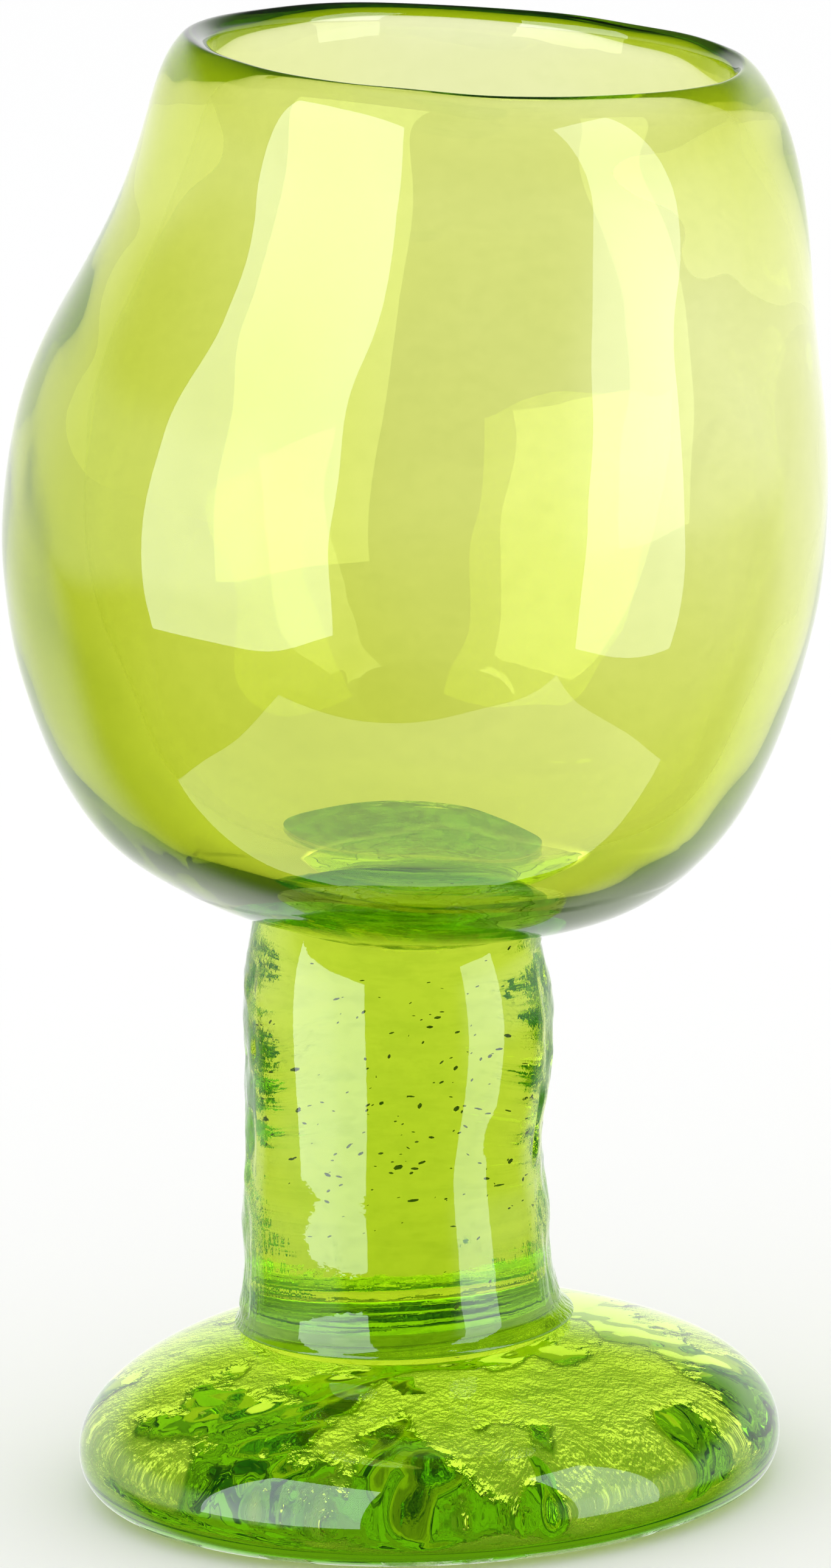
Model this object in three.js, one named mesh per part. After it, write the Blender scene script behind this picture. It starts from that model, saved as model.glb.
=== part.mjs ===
// Hand-made wine glass in lime-green glass: a blown bowl, a solid stem and a solid domed foot,
// three gathers that were joined hot. Millimetres, +Z up. The origin is the centre of the foot's
// flat resting face, and the rim leans down towards +X.
//
// Every piece is lofted from rings. A ring is an oval spanned between a point of the piece's left
// outline (towards -X) and a point of its right outline (towards +X), so a ring that leans or
// sits off centre only needs those two points.

import * as THREE from 'three';

// Driving dimensions
const RIM_TOP = 181.5; // highest point of the rim, which is the height of the glass
const RIM_LOW = 175.2; // crest of the rim on its low side
const MOUTH_WIDTH = 63; // opening at the rim
const MOUTH_CENTRE = 11.4; // how far the mouth sits towards +X of the foot's centre
const RIM_THICKNESS = 4; // across the rounded rim
const BELLY_LEFT = -47.7; // widest reach of the bowl
const BELLY_RIGHT = 53.1;
const CAVITY_FLOOR = 80.2; // inside floor of the bowl, at its middle
const BOWL_BOTTOM = 70; // outside of the bowl, at the middle of its joint with the stem
const STEM_LEFT = -21; // the stem's sides at mid height
const STEM_RIGHT = 16;
const FOOT_RADIUS = 43.5;
const REST_RADIUS = 36; // flat part of the foot's underside
const FOOT_TOP = 20; // seat of the stem on the foot
const JOINT_GAP = 0.3; // left between two pieces that touch

// Fineness of the lofts
const SEGMENTS = 40; // round each ring
const STEPS = 2; // rings from one given ring to the next

const LIME = 0xb4d22d;

// A ring: its left and right outline points as (x, z), its depth along Y over its width, and how
// far its back edge, towards +Y, rises above its middle.
function ring(left, right, depth = 1, rise = 0) {
  return { left, right, depth, rise };
}

function lowered(rings, drop) {
  return rings.map(({ left, right, depth, rise }) =>
    ring([left[0], left[1] - drop], [right[0], right[1] - drop], depth, rise));
}

// Rings along one smooth stretch, each as a centre and two half axes: across and to the back.
function smoothRings(rings) {
  const through = (points) => new THREE.CatmullRomCurve3(points, false, 'centripetal');
  const left = through(rings.map((r) => new THREE.Vector3(r.left[0], r.depth, r.left[1])));
  const right = through(rings.map((r) => new THREE.Vector3(r.right[0], r.rise, r.right[1])));
  const count = (rings.length - 1) * STEPS;
  return Array.from({ length: count + 1 }, (_, i) => {
    const a = left.getPoint(i / count);
    const b = right.getPoint(i / count);
    const depth = a.y;
    const rise = b.y;
    a.y = 0;
    b.y = 0;
    const across = b.clone().sub(a).multiplyScalar(0.5);
    const back = new THREE.Vector3(0, across.length() * depth, rise);
    return { centre: a.add(across), across, back };
  });
}

// One closed body from stretches that follow each other. The first and the last ring are points,
// and a corner is left where two stretches meet.
function loft(stretches) {
  const rings = stretches.flatMap((rings, k) => smoothRings(rings).slice(k ? 1 : 0));
  const positions = [];
  const addRing = ({ centre, across, back }) => {
    for (let s = 0; s < SEGMENTS; s++) {
      const angle = (s / SEGMENTS) * 2 * Math.PI;
      const point = centre.clone().addScaledVector(across, Math.cos(angle));
      point.addScaledVector(back, Math.sin(angle));
      positions.push(...point.toArray());
    }
  };
  const inner = rings.slice(1, -1);
  inner.forEach(addRing);
  const startPole = inner.length * SEGMENTS;
  const endPole = startPole + 1;
  positions.push(...rings[0].centre.toArray(), ...rings[rings.length - 1].centre.toArray());

  const triangles = [];
  for (let s = 0; s < SEGMENTS; s++) {
    const next = (s + 1) % SEGMENTS;
    triangles.push(startPole, next, s);
    for (let r = 0; r < inner.length - 1; r++) {
      const low = r * SEGMENTS;
      const high = low + SEGMENTS;
      triangles.push(low + s, low + next, high + s);
      triangles.push(low + next, high + next, high + s);
    }
    const last = (inner.length - 1) * SEGMENTS;
    triangles.push(last + s, last + next, endPole);
  }
  const geometry = new THREE.BufferGeometry();
  geometry.setAttribute('position', new THREE.Float32BufferAttribute(positions, 3));
  geometry.setIndex(triangles);
  geometry.computeVertexNormals();
  return geometry;
}

function glass(roughness) {
  return new THREE.MeshStandardMaterial({ color: LIME, roughness, metalness: 0 });
}

function piece(name, stretches, roughness) {
  const mesh = new THREE.Mesh(loft(stretches), glass(roughness));
  mesh.name = name;
  return mesh;
}

// The joint between bowl and stem: a shallow dish that leans down towards +X.
const BOWL_JOINT = [
  ring([-1, BOWL_BOTTOM], [-1, BOWL_BOTTOM]),
  ring([-10, 71], [8, 69.5], 0.95),
  ring([-19, 73], [16, 70.2], 0.95),
];

// The seat of the stem on the foot: flat and level.
const FOOT_SEAT = [
  ring([-2.5, FOOT_TOP], [-2.5, FOOT_TOP]),
  ring([-22.5, FOOT_TOP], [17.5, FOOT_TOP]),
];

// The blown bowl: thick towards -X and at its floor, thin towards +X, with a rounded rim.
function bowl() {
  const mouthLeft = MOUTH_CENTRE - MOUTH_WIDTH / 2;
  const mouthRight = MOUTH_CENTRE + MOUTH_WIDTH / 2;
  const outside = [
    BOWL_JOINT[BOWL_JOINT.length - 1],
    ring([-25.5, 76], [27.2, 72.4]),
    ring([-31, 79.3], [34, 76.5]),
    ring([-36.5, 83.3], [39, 81]),
    ring([-41.2, 90], [43.9, 88.2]),
    ring([-45.5, 101], [48.7, 99.5]),
    ring([-47.5, 113.5], [52.1, 112.5]),
    ring([BELLY_LEFT, 122], [BELLY_RIGHT, 125]),
    ring([-45.5, 135], [52.7, 136]),
    ring([-41, 146], [52, 146]),
    ring([-35.5, 155.2], [51.6, 154]),
    ring([-31, 163.6], [50.8, 161.5]),
    ring([-28.2, 171.2], [49.2, 168]),
    ring([-25.8, 177.6], [46.8, 172.8], 1, 0.8),
    ring([mouthLeft - RIM_THICKNESS * 0.7, RIM_TOP], [mouthRight + RIM_THICKNESS * 0.4, RIM_LOW], 1, 1),
    ring([mouthLeft, RIM_TOP - 1.3], [mouthRight, RIM_LOW - 1.3], 1, 1),
    ring([-21, 175], [43.4, 168.5], 1, 0.6),
    ring([-23.6, 167], [46.4, 162]),
    ring([-28.4, 155.5], [48.8, 151]),
    ring([-33.6, 144.5], [49.8, 141]),
    ring([-37.6, 133], [50.4, 130]),
    ring([-38.7, 121], [49.7, 118.5]),
    ring([-37.2, 109], [46.4, 106.5]),
    ring([-33.6, 97.5], [41.3, 95.5]),
    ring([-28, 89.5], [34.6, 86.2]),
    ring([-20.5, 84.6], [26, 80.6]),
    ring([-11, 82], [13, 79]),
    ring([0, CAVITY_FLOOR], [0, CAVITY_FLOOR]),
  ];
  return piece('bowl', [BOWL_JOINT, outside], 0.03);
}

// The solid stem: round shoulders under the bowl, a bulge towards +X below them, a slight waist,
// and a small bead round its base where it was pressed on to the foot.
function stem() {
  const top = lowered(BOWL_JOINT, JOINT_GAP);
  const seat = lowered(FOOT_SEAT, -JOINT_GAP);
  const side = [
    seat[seat.length - 1],
    ring([-23.6, 21.1], [18.6, 21.1]),
    ring([-22.7, 22.7], [16.7, 22.7]),
    ring([-22.3, 29.5], [16.1, 29.5]),
    ring([-21.6, 37], [15.4, 37]),
    ring([-21.2, 43.5], [15.2, 43]),
    ring([STEM_LEFT, 50], [STEM_RIGHT + 0.6, 50], 0.935),
    ring([-21, 57], [17.4, 57], 0.885),
    ring([-20.6, 63.5], [17.2, 62.5], 0.87),
    ring([-19.9, 68.6], [16.4, 66.8], 0.89),
    top[top.length - 1],
  ];
  return piece('stem', [seat, side, top.reverse()], 0.06);
}

// The solid foot: a flat underside with a rounded edge, and a low dome up to the stem.
function foot() {
  const rest = [
    ring([0, 0], [0, 0]),
    ring([-REST_RADIUS, 0], [REST_RADIUS, 0]),
  ];
  const side = [
    rest[1],
    ring([-40.6, 0.6], [41, 0.6]),
    ring([-43, 2.9], [43, 2.7]),
    ring([-FOOT_RADIUS, 6.2], [FOOT_RADIUS, 6]),
    ring([-42, 10], [42.2, 9.6]),
    ring([-38.4, 13.4], [39, 13]),
    ring([-33.6, 16.3], [33.9, 15.4]),
    ring([-28, 18.6], [27.6, 17.7]),
    FOOT_SEAT[1],
  ];
  return piece('foot', [rest, side, [...FOOT_SEAT].reverse()], 0.05);
}

const glassware = new THREE.Group();
glassware.add(bowl(), stem(), foot());
export default glassware;
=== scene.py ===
"""Looks of a hand-made wine glass in lime-green glass: the blown bowl, the solid stem and the cast foot.

Metres, +Z up. The origin is the centre of the foot's flat resting face, and the rim leans down
towards +X. The three pieces are fused where they meet: every face of them carries the attribute
"fused", and where it is 1 the glass doesn't bend or mirror light.
"""

import math
import random
from collections import namedtuple

import bpy
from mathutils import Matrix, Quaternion, Vector


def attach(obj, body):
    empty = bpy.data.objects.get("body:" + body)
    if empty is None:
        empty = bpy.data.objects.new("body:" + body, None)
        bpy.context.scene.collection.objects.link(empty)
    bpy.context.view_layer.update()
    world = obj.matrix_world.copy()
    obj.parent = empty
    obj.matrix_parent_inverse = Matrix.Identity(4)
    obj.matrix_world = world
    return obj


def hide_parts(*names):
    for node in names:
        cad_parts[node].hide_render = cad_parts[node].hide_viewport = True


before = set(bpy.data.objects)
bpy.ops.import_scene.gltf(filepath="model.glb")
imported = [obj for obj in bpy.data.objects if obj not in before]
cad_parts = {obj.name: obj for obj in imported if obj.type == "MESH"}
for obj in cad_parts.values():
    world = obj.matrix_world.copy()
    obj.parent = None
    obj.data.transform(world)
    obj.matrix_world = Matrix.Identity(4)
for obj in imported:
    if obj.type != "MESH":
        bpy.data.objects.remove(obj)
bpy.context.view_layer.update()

MM = 0.001

# Driving dimensions, in millimetres as on the drawing
RIM_TOP = 181.5  # highest point of the rim
RIM_LOW = 175.2  # crest of the rim on its low side
MOUTH_WIDTH = 63
MOUTH_CENTRE = 11.4  # how far the mouth sits towards +X of the foot's centre
RIM_THICKNESS = 4
BELLY_LEFT = -47.7
BELLY_RIGHT = 53.1
CAVITY_FLOOR = 80.2
BOWL_BOTTOM = 70
STEM_LEFT = -21
STEM_RIGHT = 16
FOOT_RADIUS = 43.5
REST_RADIUS = 36
FOOT_TOP = 20
FUSED_GAP = 0.02  # hair's breadth left between two fused faces
SPECKS = 170  # bits of ash caught in the stem

# Fineness of the glass
SEGMENTS = 48  # points round each ring
STEPS = 3  # rings from one given ring to the next
EVENING = 12  # passes that take out small unevenness between rings
TIGHT_BEND = math.radians(22)  # a bend from one ring to the next that is left as it is
SMOOTHING = 2  # levels of subdivision
SHARP_EDGE = math.radians(50)  # a steeper edge is shaded sharp
ROUND_OUT = 6 / (4 + 2 * math.cos(2 * math.pi / SEGMENTS))  # makes up for what smoothing takes in

MOUTH_LEFT = MOUTH_CENTRE - MOUTH_WIDTH / 2
MOUTH_RIGHT = MOUTH_CENTRE + MOUTH_WIDTH / 2


# Rings: an oval spanned between a point of the left outline and a point of the right outline, as
# (x, z). Depth is its size along Y over its width, and rise is how far its back edge stands above
# its middle.

Ring = namedtuple("Ring", "left right depth rise")


def ring(left, right, depth=1.0, rise=0.0):
    return Ring(left, right, depth, rise)


def lowered(rings, drop):
    return [
        ring((r.left[0], r.left[1] - drop), (r.right[0], r.right[1] - drop), r.depth, r.rise)
        for r in rings
    ]


def smooth_point(points, at):
    """A point on the centripetal curve through the given points. at runs from 0 to len - 1."""
    ends = [2 * points[0] - points[1], *points, 2 * points[-1] - points[-2]]
    span = min(int(at), len(points) - 2)
    a, b, c, d = ends[span : span + 4]
    ab = max(math.sqrt((b - a).length), 1e-4)
    bc = max(math.sqrt((c - b).length), 1e-4)
    cd = max(math.sqrt((d - c).length), 1e-4)
    slope_b = ((b - a) / ab - (c - a) / (ab + bc) + (c - b) / bc) * bc
    slope_c = ((c - b) / bc - (d - b) / (bc + cd) + (d - c) / cd) * bc
    t = at - span
    return (
        b * (2 * t**3 - 3 * t**2 + 1)
        + slope_b * (t**3 - 2 * t**2 + t)
        + c * (3 * t**2 - 2 * t**3)
        + slope_c * (t**3 - t**2)
    )


def evened(points):
    """Takes small unevenness out of a run of points, and leaves its ends and tight bends as they are."""
    here = [p.copy() for p in points]
    bends = [(b - a).angle(c - b, 0) for a, b, c in zip(here, here[1:], here[2:])]
    free = [0, *[1 if bend < TIGHT_BEND else 0 for bend in bends], 0]
    for pull in [0.5, -0.52] * EVENING:
        here = [
            here[i] + ((here[i - 1] + here[i + 1]) / 2 - here[i]) * pull if free[i] else here[i]
            for i in range(len(here))
        ]
    return here


Place = namedtuple("Place", "centre width depth lean tip")


def places(rings):
    """Where each ring of a smooth stretch lies, in metres and radians."""
    given_left = [Vector((r.left[0], r.depth, r.left[1])) for r in rings]
    given_right = [Vector((r.right[0], r.rise, r.right[1])) for r in rings]
    steps = [i / STEPS for i in range((len(rings) - 1) * STEPS + 1)]
    left = evened([smooth_point(given_left, at) for at in steps])
    right = evened([smooth_point(given_right, at) for at in steps])
    laid = []
    for a, b in zip(left, right):
        depth, rise = a.y, b.y
        a.y = b.y = 0
        half = (b - a) / 2
        width = max(half.length * ROUND_OUT, 1e-4)
        laid.append(
            Place(
                centre=(a + half) * MM,
                width=width * MM,
                depth=width * depth * MM,
                lean=math.atan2(half.z, half.x) if half.length > 1e-3 else 0.0,
                tip=math.atan2(rise, width * depth),
            )
        )
    return laid


# Modelling by hand


def clear_selection():
    if bpy.context.object and bpy.context.object.mode != "OBJECT":
        bpy.ops.object.mode_set(mode="OBJECT")
    bpy.ops.object.select_all(action="DESELECT")


def turn(angle, axis, centre):
    if abs(angle) > 1e-7:
        bpy.ops.transform.rotate(value=angle, orient_axis=axis, center_override=centre)


def move_ring(now, to):
    """Takes the selected ring of points from one place to the next: levelled, sized, leant and moved."""
    turn(-now.lean, "Y", now.centre)
    turn(now.tip, "X", now.centre)
    bpy.ops.transform.resize(
        value=(to.width / now.width, to.depth / now.depth, 1), center_override=now.centre
    )
    turn(-to.tip, "X", now.centre)
    turn(to.lean, "Y", now.centre)
    bpy.ops.transform.translate(value=to.centre - now.centre)


def drawn_body(name, stretches):
    """A closed body drawn ring by ring from a small disc. It starts and ends at a pole, and a sharp
    edge is left where two stretches meet."""
    clear_selection()
    laid = [places(rings) for rings in stretches]
    now = laid[0][1]
    bpy.ops.mesh.primitive_circle_add(
        vertices=SEGMENTS, radius=1, fill_type="TRIFAN", location=now.centre
    )
    body = bpy.context.object
    body.name = name
    bpy.ops.object.mode_set(mode="EDIT")
    bpy.ops.mesh.select_all(action="SELECT")
    bpy.ops.transform.resize(value=(now.width, now.depth, 1), center_override=now.centre)
    turn(-now.tip, "X", now.centre)
    turn(now.lean, "Y", now.centre)
    bpy.ops.mesh.region_to_loop()
    for k, stretch in enumerate(laid):
        last = k == len(laid) - 1
        for to in stretch[2 if k == 0 else 1 : -1 if last else None]:
            bpy.ops.mesh.extrude_region_move()
            bpy.ops.transform.edge_crease(value=-1)
            move_ring(now, to)
            now = to
        if last:
            bpy.ops.mesh.extrude_region_move()
            bpy.ops.mesh.merge(type="CENTER")
        else:
            bpy.ops.transform.edge_crease(value=1)
    bpy.ops.mesh.select_all(action="SELECT")
    bpy.ops.mesh.normals_make_consistent(inside=False)
    bpy.ops.object.mode_set(mode="OBJECT")
    bpy.ops.object.transform_apply(location=True, rotation=True, scale=True)
    return body


def select_faces(body, test):
    """Selects the faces whose centre and normal pass a test, from edit mode and back to it."""
    bpy.ops.mesh.select_all(action="DESELECT")
    bpy.ops.object.mode_set(mode="OBJECT")
    for face in body.data.polygons:
        face.select = test(face.center, face.normal)
    bpy.ops.object.mode_set(mode="EDIT")


def mark_fused(body, test):
    """Gives every face the attribute "fused": 1 on the contact faces that pass the test, else 0."""
    bpy.ops.geometry.attribute_add(name="fused", domain="FACE", data_type="FLOAT")
    bpy.ops.object.mode_set(mode="EDIT")
    bpy.ops.mesh.select_mode(type="FACE")
    select_faces(body, test)
    body.data.attributes.active = body.data.attributes["fused"]
    bpy.ops.mesh.attribute_set(value_float=1.0)
    bpy.ops.object.mode_set(mode="OBJECT")


def apply_modifier(body, kind, **settings):
    modifier = body.modifiers.new(kind.lower(), kind)
    for setting, value in settings.items():
        setattr(modifier, setting, value)
    bpy.ops.object.modifier_apply(modifier=modifier.name)


def finish_body(body):
    """Rounds the drawn body off, and keeps its creases sharp."""
    apply_modifier(body, "SUBSURF", levels=SMOOTHING, render_levels=SMOOTHING)
    bpy.ops.object.shade_smooth_by_angle(angle=SHARP_EDGE)


def name_points(body, group, test):
    """Puts the points that pass a test into a vertex group."""
    bpy.ops.object.vertex_group_add()
    body.vertex_groups.active.name = group
    bpy.ops.object.mode_set(mode="EDIT")
    bpy.ops.mesh.select_mode(type="VERT")
    bpy.ops.mesh.select_all(action="DESELECT")
    bpy.ops.object.mode_set(mode="OBJECT")
    for point in body.data.vertices:
        point.select = test(point.co)
    bpy.ops.object.mode_set(mode="EDIT")
    bpy.ops.object.vertex_group_assign()
    bpy.ops.object.mode_set(mode="OBJECT")


def lumps(body, group, size, strength, direction="NORMAL", level=0.5, depth=2):
    """Unevenness of one vertex group from a cloud pattern. Size and strength are in metres, and level
    is the height in the pattern that stays where it is."""
    pattern = bpy.data.textures.new(body.name + "_" + group, "CLOUDS")
    pattern.noise_scale = size
    pattern.noise_depth = depth
    apply_modifier(
        body,
        "DISPLACE",
        texture=pattern,
        texture_coords="LOCAL",
        vertex_group=group,
        strength=strength,
        mid_level=level,
        direction=direction,
    )


# The three pieces

# The joint between bowl and stem: a shallow dish that leans down towards +X.
BOWL_JOINT = [
    ring((-1, BOWL_BOTTOM), (-1, BOWL_BOTTOM)),
    ring((-10, 71), (8, 69.5), 0.95),
    ring((-19, 73), (16, 70.2), 0.95),
]

# The seat of the stem on the foot: flat and level.
FOOT_SEAT = [
    ring((-2.5, FOOT_TOP), (-2.5, FOOT_TOP)),
    ring((-22.5, FOOT_TOP), (17.5, FOOT_TOP)),
]

# From the joint up the outside, over the rounded rim and down the inside to the floor of the cavity.
BOWL_WALL = [
    BOWL_JOINT[-1],
    ring((-25.5, 76), (27.2, 72.4)),
    ring((-31, 79.3), (34, 76.5)),
    ring((-36.5, 83.3), (39, 81)),
    ring((-41.2, 90), (43.9, 88.2)),
    ring((-45.5, 101), (48.7, 99.5)),
    ring((-47.5, 113.5), (52.1, 112.5)),
    ring((BELLY_LEFT, 122), (BELLY_RIGHT, 125)),
    ring((-45.5, 135), (52.7, 136)),
    ring((-41, 146), (52, 146)),
    ring((-35.5, 155.2), (51.6, 154)),
    ring((-31, 163.6), (50.8, 161.5)),
    ring((-28.2, 171.2), (49.2, 168)),
    ring((-25.8, 177.6), (46.8, 172.8), 1, 0.8),
    ring(
        (MOUTH_LEFT - RIM_THICKNESS * 0.7, RIM_TOP),
        (MOUTH_RIGHT + RIM_THICKNESS * 0.4, RIM_LOW),
        1,
        1,
    ),
    ring((MOUTH_LEFT, RIM_TOP - 1.3), (MOUTH_RIGHT, RIM_LOW - 1.3), 1, 1),
    ring((-21, 175), (43.4, 168.5), 1, 0.6),
    ring((-23.6, 167), (46.4, 162)),
    ring((-28.4, 155.5), (48.8, 151)),
    ring((-33.6, 144.5), (49.8, 141)),
    ring((-37.6, 133), (50.4, 130)),
    ring((-38.7, 121), (49.7, 118.5)),
    ring((-37.2, 109), (46.4, 106.5)),
    ring((-33.6, 97.5), (41.3, 95.5)),
    ring((-28, 89.5), (34.6, 86.2)),
    ring((-20.5, 84.6), (26, 80.6)),
    ring((-11, 82), (13, 79)),
    ring((0, CAVITY_FLOOR), (0, CAVITY_FLOOR)),
]

# From the seat up: a small bead, a slight waist, a bulge towards +X and round shoulders.
STEM_SIDE = [
    FOOT_SEAT[-1],
    ring((-23.6, 21.1), (18.6, 21.1)),
    ring((-22.7, 22.7), (16.7, 22.7)),
    ring((-22.3, 29.5), (16.1, 29.5)),
    ring((-21.6, 37), (15.4, 37)),
    ring((-21.2, 43.5), (15.2, 43)),
    ring((STEM_LEFT, 50), (STEM_RIGHT + 0.6, 50), 0.935),
    ring((-21, 57), (17.4, 57), 0.885),
    ring((-20.6, 63.5), (17.2, 62.5), 0.87),
    ring((-19.9, 68.6), (16.4, 66.8), 0.89),
    lowered(BOWL_JOINT, FUSED_GAP)[-1],
]

FOOT_REST = [
    ring((0, 0), (0, 0)),
    ring((-12, 0), (12, 0)),
    ring((-24, 0), (24, 0)),
    ring((-REST_RADIUS, 0), (REST_RADIUS, 0)),
]

FOOT_SIDE = [
    FOOT_REST[-1],
    ring((-40.6, 0.6), (41, 0.6)),
    ring((-43, 2.9), (43, 2.7)),
    ring((-FOOT_RADIUS, 6.2), (FOOT_RADIUS, 6)),
    ring((-42, 10), (42.2, 9.6)),
    ring((-38.4, 13.4), (39, 13)),
    ring((-33.6, 16.3), (33.9, 15.4)),
    ring((-28, 18.6), (27.6, 17.7)),
    lowered(FOOT_SEAT, FUSED_GAP)[-1],
]


def make_bowl():
    body = drawn_body("goblet_bowl", [BOWL_JOINT, BOWL_WALL])
    joint_middle = Vector((-1.5, 0)) * MM
    mark_fused(
        body,
        lambda centre, normal: normal.z < -0.8
        and centre.z < 73.2 * MM
        and (centre.xy - joint_middle).length < 17.6 * MM,
    )
    finish_body(body)
    name_points(body, "blown", lambda at: at.z > 78 * MM)
    lumps(body, "blown", 24 * MM, 0.7 * MM, depth=1)
    return body


def make_stem():
    body = drawn_body("goblet_stem", [FOOT_SEAT, STEM_SIDE, lowered(BOWL_JOINT, FUSED_GAP)[::-1]])
    mark_fused(
        body,
        lambda centre, normal: abs(normal.z) > 0.9
        and (centre.z < FOOT_TOP * MM + 1e-5 or centre.z > 69 * MM),
    )
    finish_body(body)
    name_points(body, "back", lambda at: at.y > -6 * MM and 23 * MM < at.z < 68 * MM)
    lumps(body, "back", 10 * MM, 1.7 * MM, depth=2)
    return body


def make_specks():
    """Dark specks of ash caught in the stem, as one piece. Most lie in a band across its middle."""
    clear_selection()
    dice = random.Random(7)
    made = []
    for _ in range(SPECKS):
        across = dice.triangular(-17, 14, 3)
        height = dice.triangular(23, 69, 50)
        front = dice.uniform(-13, 11)
        long = dice.triangular(0.2, 1.0, 0.3) * MM / 2
        thick = long * dice.uniform(0.3, 0.6)
        centre = Vector((across, front, height)) * MM
        bpy.ops.mesh.primitive_ico_sphere_add(subdivisions=1, radius=1, location=centre)
        speck = bpy.context.object
        bpy.ops.object.mode_set(mode="EDIT")
        bpy.ops.mesh.select_all(action="SELECT")
        bpy.ops.transform.resize(value=(long, thick, thick), center_override=centre)
        turn(dice.gauss(0.35, 0.5), "Y", centre)
        turn(dice.uniform(-0.6, 0.6), "Z", centre)
        bpy.ops.object.mode_set(mode="OBJECT")
        made.append(speck)
    bpy.ops.object.select_all(action="DESELECT")
    for speck in made:
        speck.select_set(True)
    bpy.context.view_layer.objects.active = made[0]
    bpy.ops.object.join()
    specks = bpy.context.object
    specks.name = "stem_specks"
    bpy.ops.object.transform_apply(location=True, rotation=True, scale=True)
    bpy.ops.object.shade_smooth()
    return specks


def make_foot():
    body = drawn_body("goblet_foot", [FOOT_REST, FOOT_SIDE, lowered(FOOT_SEAT, FUSED_GAP)[::-1]])
    mark_fused(
        body, lambda centre, normal: normal.z > 0.99 and centre.z > (FOOT_TOP - 0.1) * MM
    )
    finish_body(body)
    name_points(body, "underside", lambda at: at.z < 0.3 * MM)
    lumps(body, "underside", 9 * MM, 2.2 * MM, direction="Z", level=0.12)
    lumps(body, "underside", 2.2 * MM, 0.6 * MM, direction="Z", level=0.1)
    return body


# Glass

BENDING = 1.5  # index of refraction
MATT = 0.6  # roughness of the matt patches of the cast face
CORD_TINT = (0.25, 0.42, 0.05)  # tint of a cord or of dust at its densest
ASH_DARK = (0.02, 0.05, 0.008)
ASH_LIGHT = (0.16, 0.24, 0.03)


def node(tree, kind, **settings):
    made = tree.nodes.new(kind)
    for setting, value in settings.items():
        setattr(made, setting, value)
    return made


def link(tree, source, target):
    tree.links.new(source, target)


def falloff(tree, value, start, end, low, high):
    """A value that changes softly from low at start to high at end."""
    made = node(tree, "ShaderNodeMapRange", interpolation_type="SMOOTHSTEP")
    for socket, number in zip(("From Min", "From Max", "To Min", "To Max"), (start, end, low, high)):
        made.inputs[socket].default_value = number
    link(tree, value, made.inputs["Value"])
    return made.outputs["Result"]


def either(tree, kind, a, b):
    """Two values put together by one kind of arithmetic. Each is a number or a socket."""
    made = node(tree, "ShaderNodeMath", operation=kind)
    for socket, value in zip(made.inputs, (a, b)):
        if isinstance(value, (int, float)):
            socket.default_value = value
        else:
            link(tree, value, socket)
    return made.outputs["Value"]


def new_group(name, inputs, outputs):
    """An empty node group with float inputs, each with its usual value, and float outputs."""
    group = bpy.data.node_groups.new(name, "ShaderNodeTree")
    for label, value in inputs.items():
        socket = group.interface.new_socket(label, in_out="INPUT", socket_type="NodeSocketFloat")
        socket.default_value = value
    for label in outputs:
        group.interface.new_socket(label, in_out="OUTPUT", socket_type="NodeSocketFloat")
    return group, node(group, "NodeGroupInput"), node(group, "NodeGroupOutput")


def noise(tree, place, scale, detail=2.0, stretch=(1, 1, 1)):
    """Noise on a place, with scale in lumps per metre, or a stretch of that along each axis."""
    fit = node(tree, "ShaderNodeMapping")
    fit.inputs["Scale"].default_value = stretch
    made = node(tree, "ShaderNodeTexNoise")
    made.inputs["Scale"].default_value = scale
    made.inputs["Detail"].default_value = detail
    link(tree, place, fit.inputs["Vector"])
    link(tree, fit.outputs["Vector"], made.inputs["Vector"])
    return made.outputs["Fac"]


def cast_grain_group():
    """Relief of a face cast on a rough plate, in patches: coarse pits and fine grain, with smooth
    places between. It stops at the height Top, and Mask is 1 on the patches."""
    group, given, out = new_group(
        "cast_grain", {"Top": 1.6 * MM, "Coarse": 1.0, "Fine": 0.4}, ["Height", "Mask"]
    )
    place = node(group, "ShaderNodeTexCoord").outputs["Object"]
    parts = node(group, "ShaderNodeSeparateXYZ")
    link(group, place, parts.inputs["Vector"])
    low = either(group, "LESS_THAN", parts.outputs["Z"], given.outputs["Top"])
    patch = falloff(group, noise(group, place, 70, 7), 0.46, 0.51, 0.0, 1.0)
    coarse = either(group, "MULTIPLY", noise(group, place, 420, 3), given.outputs["Coarse"])
    fine = either(group, "MULTIPLY", noise(group, place, 2200, 2), given.outputs["Fine"])
    height = either(group, "MULTIPLY", either(group, "ADD", coarse, fine), patch)
    link(group, either(group, "MULTIPLY", height, low), out.inputs["Height"])
    link(group, either(group, "MULTIPLY", patch, low), out.inputs["Mask"])
    return group


def chilled_ripple_group():
    """Height of the fine ripple that a chilled gather keeps: stronger at its back, and streaked
    upwards near its base."""
    group, given, out = new_group("chilled_ripple", {"Ripple": 1.0, "Streaks": 1.0}, ["Height"])
    place = node(group, "ShaderNodeTexCoord").outputs["Object"]
    parts = node(group, "ShaderNodeSeparateXYZ")
    link(group, place, parts.inputs["Vector"])
    back = falloff(group, parts.outputs["Y"], -0.012, 0.004, 0.03, 1.0)
    ripple = either(group, "MULTIPLY", noise(group, place, 260, 4), given.outputs["Ripple"])
    base = falloff(group, parts.outputs["Z"], 0.024, 0.04, 1.0, 0.0)
    streaks = noise(group, place, 900, 2, (1, 1, 0.15))
    streaks = either(group, "MULTIPLY", streaks, given.outputs["Streaks"])
    streaks = either(group, "MULTIPLY", streaks, base)
    height = either(group, "ADD", ripple, streaks)
    link(group, either(group, "MULTIPLY", height, back), out.inputs["Height"])
    return group


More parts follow.
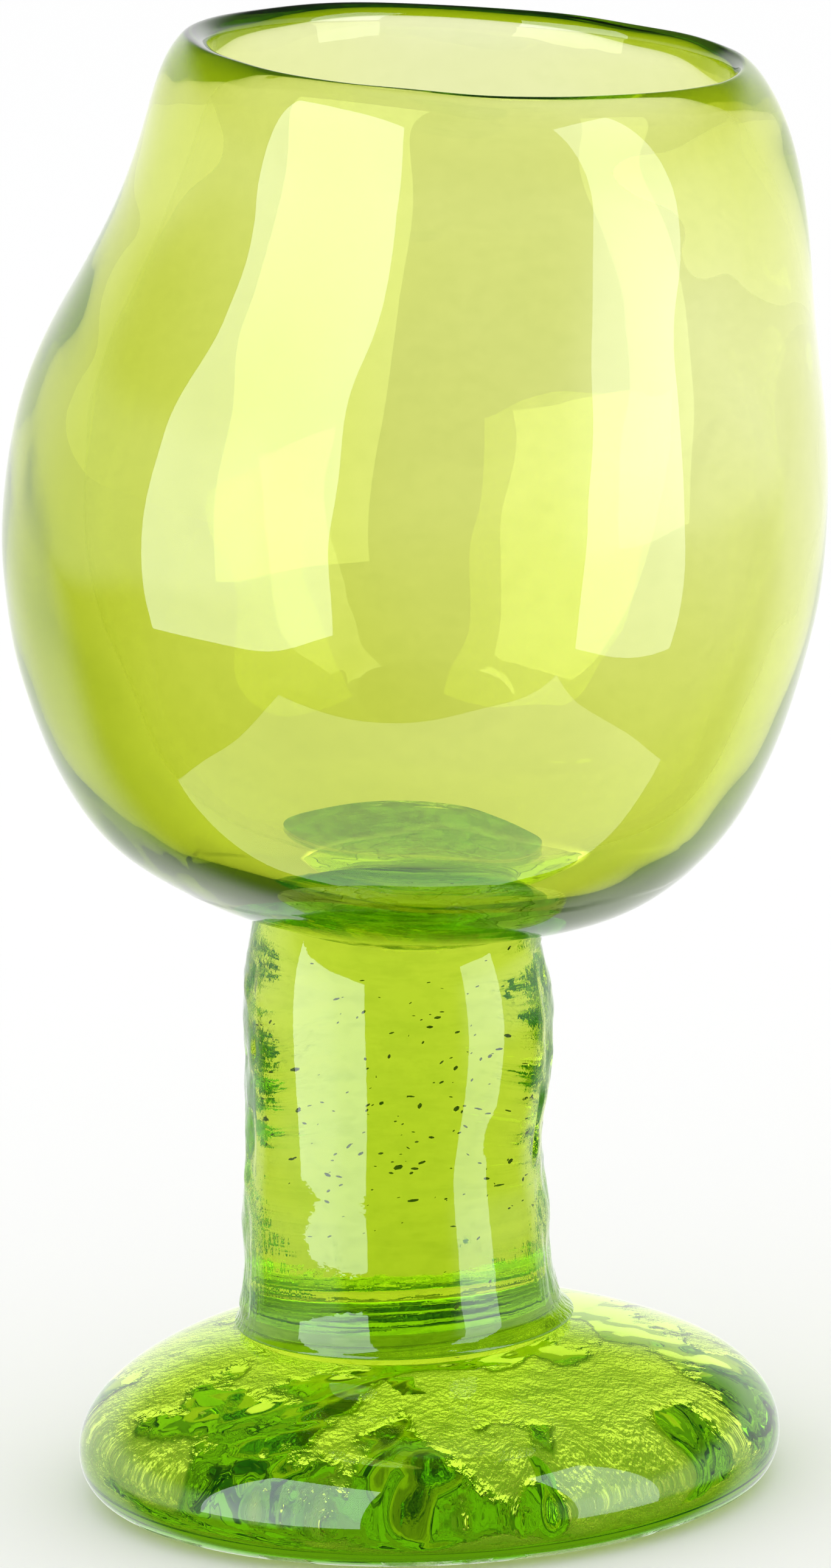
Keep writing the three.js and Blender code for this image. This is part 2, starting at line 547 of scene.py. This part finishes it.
def mottle_group():
    """Clearness of melted glass: 1 where it is clear, less in thin cords and at a dusty fused face."""
    group, given, out = new_group("mottle", {"Fused": 0.0, "Cords": 0.2, "Dust": 0.5}, ["Clearness"])
    place = node(group, "ShaderNodeTexCoord").outputs["Object"]
    cords = falloff(group, noise(group, place, 330, 6, (1, 1, 1.6)), 0.36, 0.56, 1.0, 0.0)
    cords = either(group, "MULTIPLY", cords, given.outputs["Cords"])
    dust = falloff(group, noise(group, place, 420, 6, (1, 0.5, 1)), 0.4, 0.6, 1.0, 0.0)
    dust = either(group, "MULTIPLY", dust, given.outputs["Dust"])
    dust = either(group, "MULTIPLY", dust, given.outputs["Fused"])
    clouded = either(group, "MAXIMUM", cords, dust)
    link(group, either(group, "SUBTRACT", 1.0, clouded), out.inputs["Clearness"])
    return group


def lime_glass(name, density, clearness, turns):
    """Clear glass, tinted by the length of the light's way through it. A fused face doesn't bend light,
    nor does any face once the light has turned more than the given number of times, so that none of
    it stays caught in the wall, which would turn black."""
    glass = bpy.data.materials.new(name)
    glass.use_nodes = True
    tree = glass.node_tree
    shader = tree.nodes["Principled BSDF"]
    shader.inputs["Base Color"].default_value = (1, 1, 1, 1)
    shader.inputs["Roughness"].default_value = 0
    shader.inputs["Transmission Weight"].default_value = 1
    shader.inputs["IOR"].default_value = BENDING
    fused = node(tree, "ShaderNodeAttribute", attribute_name="fused")
    bend = node(tree, "ShaderNodeMapRange")
    bend.inputs["To Min"].default_value = BENDING
    bend.inputs["To Max"].default_value = 1.0
    rays = node(tree, "ShaderNodeLightPath")
    caught = either(tree, "GREATER_THAN", rays.outputs["Ray Depth"], turns)
    link(tree, either(tree, "MAXIMUM", fused.outputs["Fac"], caught), bend.inputs["Value"])
    link(tree, bend.outputs["Result"], shader.inputs["IOR"])
    tint = node(tree, "ShaderNodeVolumeAbsorption")
    tint.inputs["Color"].default_value = (*clearness, 1)
    tint.inputs["Density"].default_value = density
    link(tree, tint.outputs["Volume"], tree.nodes["Material Output"].inputs["Volume"])
    return glass


def colour_by(tree, value, low, high):
    """Colours the material from low to high by a value from 0 to 1."""
    colours = node(tree, "ShaderNodeValToRGB")
    colours.color_ramp.elements[0].color = (*low, 1)
    colours.color_ramp.elements[1].color = (*high, 1)
    link(tree, value, colours.inputs["Fac"])
    link(tree, colours.outputs["Color"], tree.nodes["Principled BSDF"].inputs["Base Color"])


def cloud(glass, group, cords, dust):
    """Lays faint cords, and dust at the fused faces, into the colour of a glass."""
    tree = glass.node_tree
    mottled = node(tree, "ShaderNodeGroup", node_tree=group)
    mottled.inputs["Cords"].default_value = cords
    mottled.inputs["Dust"].default_value = dust
    fused = node(tree, "ShaderNodeAttribute", attribute_name="fused")
    link(tree, fused.outputs["Fac"], mottled.inputs["Fused"])
    colour_by(tree, mottled.outputs["Clearness"], CORD_TINT, (1, 1, 1))


def roughen(glass, group, depth):
    """Lays a group's height on a glass as a bump of the given depth in metres."""
    tree = glass.node_tree
    relief = node(tree, "ShaderNodeGroup", node_tree=group)
    bump = node(tree, "ShaderNodeBump")
    bump.inputs["Distance"].default_value = depth
    link(tree, relief.outputs["Height"], bump.inputs["Height"])
    link(tree, bump.outputs["Normal"], tree.nodes["Principled BSDF"].inputs["Normal"])
    return relief


def matt_patches(glass, mask):
    """Makes a glass matt where a mask is 1."""
    tree = glass.node_tree
    link(tree, either(tree, "MULTIPLY", mask, MATT), tree.nodes["Principled BSDF"].inputs["Roughness"])


def olive_ash():
    ash = bpy.data.materials.new("olive_ash")
    ash.use_nodes = True
    tree = ash.node_tree
    place = node(tree, "ShaderNodeTexCoord").outputs["Object"]
    colour_by(tree, noise(tree, place, 300), ASH_DARK, ASH_LIGHT)
    return ash


def give(body, material):
    body.data.materials.clear()
    body.data.materials.append(material)
    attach(body, "root")


mottle = mottle_group()

clear_lime = lime_glass("clear_lime", density=150, clearness=(0.81, 0.862, 0.04), turns=4.5)
cloud(clear_lime, mottle, cords=0.03, dust=0.85)

chilled_lime = lime_glass("chilled_lime", density=120, clearness=(0.835, 0.913, 0.1), turns=12.5)
roughen(chilled_lime, chilled_ripple_group(), 0.5 * MM)
cloud(chilled_lime, mottle, cords=0.13, dust=0.3)

cast_lime = lime_glass("cast_lime", density=125, clearness=(0.79, 0.887, 0.04), turns=12.5)
cast_face = roughen(cast_lime, cast_grain_group(), 1.2 * MM)
cloud(cast_lime, mottle, cords=0.06, dust=0.3)
matt_patches(cast_lime, cast_face.outputs["Mask"])

ash = olive_ash()

bowl = make_bowl()
give(bowl, clear_lime)
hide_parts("bowl")

stem = make_stem()
give(stem, chilled_lime)
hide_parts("stem")

foot = make_foot()
give(foot, cast_lime)
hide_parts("foot")

give(make_specks(), ash)


# Floor, light and camera

DARK = 0.05  # what the glass mirrors from overhead, from below and from the front
DIM = 0.6  # what it bends towards the eye from overhead and from the front
WHITE = 1.1  # the lit background
FLOOR = 0.95  # how pale the floor is
PAINTED_FLOOR_SHADE = 0.35  # painted shade: how pale the glass sees the floor in front
GLOW = 1.15  # painted glow: light the floor itself gives off under the foot, unseen by the camera
GLOW_REACH = 46 * MM
PANEL_TINT = (0.82, 0.85, 1.0)
SEEN_THROUGH = 0.19  # a panel seen straight through the glass is no brighter than the background
CAMERA_PLACE = Vector((1.4, -1100, 319)) * MM
CAMERA_AIM = Vector((1.4, 0, 88)) * MM
CAMERA_ROLL = math.radians(-2.2)
LENS = 210.829  # millimetres
SENSOR = 36
LIGHT_TURNS = 64  # how often light may be bent or mirrored


def make_floor():
    """A pale floor that isn't seen in mirrored light. Seen through the glass its colour carries painted
    shade towards the camera, as on a table lit from behind, and under the foot it has a painted glow."""
    clear_selection()
    bpy.ops.mesh.primitive_plane_add(size=6, location=(0, 0, -0.05 * MM))
    floor = bpy.context.object
    floor.name = "studio_floor"
    paper = bpy.data.materials.new("pale_paper")
    paper.use_nodes = True
    tree = paper.node_tree
    shader = tree.nodes["Principled BSDF"]
    place = node(tree, "ShaderNodeTexCoord")
    parts = node(tree, "ShaderNodeSeparateXYZ")
    link(tree, place.outputs["Object"], parts.inputs["Vector"])
    # painted shade: for rays other than the camera's, the floor's colour darkens towards the camera
    lit = falloff(tree, parts.outputs["Y"], -0.2, -0.07, PAINTED_FLOOR_SHADE, FLOOR)
    rays = node(tree, "ShaderNodeLightPath")
    plain = either(tree, "MULTIPLY", rays.outputs["Is Camera Ray"], FLOOR)
    link(tree, either(tree, "MAXIMUM", plain, lit), shader.inputs["Base Color"])
    from_middle = node(tree, "ShaderNodeVectorMath", operation="LENGTH")
    link(tree, place.outputs["Object"], from_middle.inputs[0])
    # painted glow: the floor emits light under the foot, for every ray but the camera's
    glow = falloff(tree, from_middle.outputs["Value"], GLOW_REACH, GLOW_REACH + 4 * MM, GLOW, 0.0)
    unseen = either(tree, "SUBTRACT", 1.0, rays.outputs["Is Camera Ray"])
    shader.inputs["Emission Color"].default_value = (1, 1, 1, 1)
    link(tree, either(tree, "MULTIPLY", glow, unseen), shader.inputs["Emission Strength"])
    shader.inputs["Roughness"].default_value = 0.9
    floor.data.materials.append(paper)
    floor.visible_glossy = False


def make_world():
    """White all round, to the camera and to the floor. What the glass bends is dimmer overhead and in
    front, and what it mirrors is dark but for the low parts of the back and the sides."""
    world = bpy.data.worlds.new("studio")
    bpy.context.scene.world = world
    world.use_nodes = True
    tree = world.node_tree
    way = node(tree, "ShaderNodeTexCoord")
    parts = node(tree, "ShaderNodeSeparateXYZ")
    link(tree, way.outputs["Generated"], parts.inputs["Vector"])
    along, height = parts.outputs["Y"], parts.outputs["Z"]
    not_front = falloff(tree, along, -0.85, -0.6, 0.0, 1.0)
    not_overhead = falloff(tree, height, 0.55, 0.8, 1.0, 0.0)
    low_down = falloff(tree, height, 0.15, 0.5, 1.0, 0.0)
    not_below = falloff(tree, height, -0.25, -0.05, 0.0, 1.0)
    back = falloff(tree, along, 0.25, 0.7, 0.0, 1.0)
    rays = node(tree, "ShaderNodeLightPath")
    mirroring = rays.outputs["Is Reflection Ray"]
    bending = either(tree, "SUBTRACT", 1.0, mirroring)
    bent = falloff(tree, either(tree, "MULTIPLY", not_front, not_overhead), 0.0, 1.0, DIM, 1.0)
    bent = either(tree, "MULTIPLY", bent, bending)
    around = either(tree, "MULTIPLY", either(tree, "MULTIPLY", not_front, low_down), not_below)
    behind = either(tree, "MULTIPLY", back, low_down)
    mirrored = falloff(tree, either(tree, "MAXIMUM", around, behind), 0.0, 1.0, DARK, 1.0)
    mirrored = either(tree, "MULTIPLY", mirrored, mirroring)
    studio = either(tree, "ADD", mirrored, bent)
    plain = either(tree, "MAXIMUM", rays.outputs["Is Camera Ray"], rays.outputs["Diffuse Depth"])
    plain = either(tree, "MINIMUM", plain, 1.0)
    light = either(tree, "MAXIMUM", plain, studio)
    strength = either(tree, "MULTIPLY", light, WHITE)
    link(tree, strength, tree.nodes["Background"].inputs["Strength"])
    tree.nodes["Background"].inputs["Color"].default_value = (1, 1, 1, 1)


def area_lamp(name, width, height, radiance):
    """A rectangular lamp that neither the camera nor the floor sees."""
    lamp = bpy.data.lights.new(name, "AREA")
    lamp.shape = "RECTANGLE"
    lamp.size = width
    lamp.size_y = height
    lamp.energy = radiance * math.pi * width * height
    body = bpy.data.objects.new(name, lamp)
    bpy.context.collection.objects.link(body)
    body.visible_camera = False
    body.visible_diffuse = False
    return body


def soft_panel(name, bearing, distance, width, low, high, radiance):
    """A tall soft light between two heights. Its bearing is in degrees from -Y towards +X. It is bright
    only in light that was mirrored on its way, so it shows as a highlight and not through the glass."""
    panel = area_lamp(name, width, high - low, radiance)
    lamp = panel.data
    lamp.color = PANEL_TINT
    lamp.use_nodes = True
    tree = lamp.node_tree
    rays = node(tree, "ShaderNodeLightPath")
    mirrored = either(tree, "GREATER_THAN", rays.outputs["Glossy Depth"], 0.5)
    strength = either(tree, "MAXIMUM", mirrored, SEEN_THROUGH)
    link(tree, strength, tree.nodes["Emission"].inputs["Strength"])
    facing = math.radians(bearing)
    across, along = math.sin(facing) * distance, -math.cos(facing) * distance
    panel.location = (across, along, (low + high) / 2)
    panel.rotation_euler = (math.radians(90), 0, facing)


def make_camera():
    lens = bpy.data.cameras.new("product_camera")
    camera = bpy.data.objects.new("product_camera", lens)
    bpy.context.collection.objects.link(camera)
    look = (CAMERA_AIM - CAMERA_PLACE).to_track_quat("-Z", "Y")
    camera.location = CAMERA_PLACE
    camera.rotation_mode = "QUATERNION"
    camera.rotation_quaternion = look @ Quaternion((0, 0, 1), CAMERA_ROLL)
    lens.sensor_width = SENSOR
    lens.lens = LENS
    lens.clip_start = 0.01
    bpy.context.scene.camera = camera


def table_sheen(width, near, far, radiance, mirrored_by):
    """A bright sheet on the table in front of the foot, between two places along Y, that one body alone
    mirrors."""
    sheen = area_lamp("table_sheen", width, far - near, radiance)
    sheen.location = (0, (near + far) / 2, 0.1 * MM)
    sheen.rotation_euler = (math.pi, 0, 0)
    sheen.visible_transmission = False
    receivers = bpy.data.collections.new("mirrors_the_table")
    receivers.objects.link(mirrored_by)
    sheen.light_linking.receiver_collection = receivers


make_floor()
make_world()
table_sheen(width=0.3, near=-0.19, far=-0.03, radiance=2.0, mirrored_by=bowl)
soft_panel("left_panel", bearing=-49, distance=0.42, width=0.43, low=-0.02, high=0.65, radiance=5.4)
soft_panel("right_panel", bearing=60, distance=0.42, width=0.22, low=-0.08, high=0.65, radiance=4.2)
make_camera()

scene = bpy.context.scene
scene.view_settings.view_transform = "Standard"
scene.cycles.max_bounces = LIGHT_TURNS
scene.cycles.transmission_bounces = LIGHT_TURNS
scene.cycles.glossy_bounces = LIGHT_TURNS
scene.cycles.caustics_refractive = True
scene.cycles.caustics_reflective = True
scene.cycles.use_denoising = True
